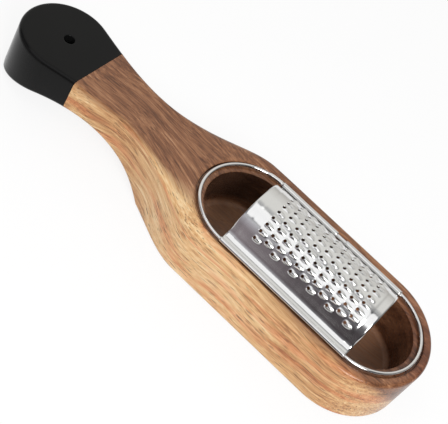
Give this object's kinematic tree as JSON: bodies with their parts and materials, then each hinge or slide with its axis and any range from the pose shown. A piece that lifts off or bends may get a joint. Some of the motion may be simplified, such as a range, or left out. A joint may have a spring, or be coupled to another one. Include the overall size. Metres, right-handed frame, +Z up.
{
  "type": "cheese grater with container",
  "caption": "Wooden hand grater: an arched steel grating sheet on a wire loop lifts out of a container carved in one piece with the black-tipped handle.",
  "frame": {"origin": "on the table, under the middle of the body's length and width", "axes": "+X from the handle's tip to the container's round end, +Z up from the flat underside, +Y across the body"},
  "size_m": [0.29, 0.0782, 0.0549],
  "materials": {
    "acacia_wood": "oiled reddish brown acacia",
    "black_coat": "satin black dip",
    "wire_steel": "polished stainless wire",
    "sheet_steel": "bright stainless sheet"
  },
  "bodies": {
    "container_body": {"wooden_body": "acacia_wood", "black_end": "black_coat"},
    "grater_insert": {"wire_frame": "wire_steel", "grater_sheet": "sheet_steel"}
  },
  "joints": [
    {"name": "grater_lift", "type": "slide", "parent": "container_body", "child": "grater_insert", "axis": [0, 0, 1], "range_m": [0, 0.06]}
  ]
}
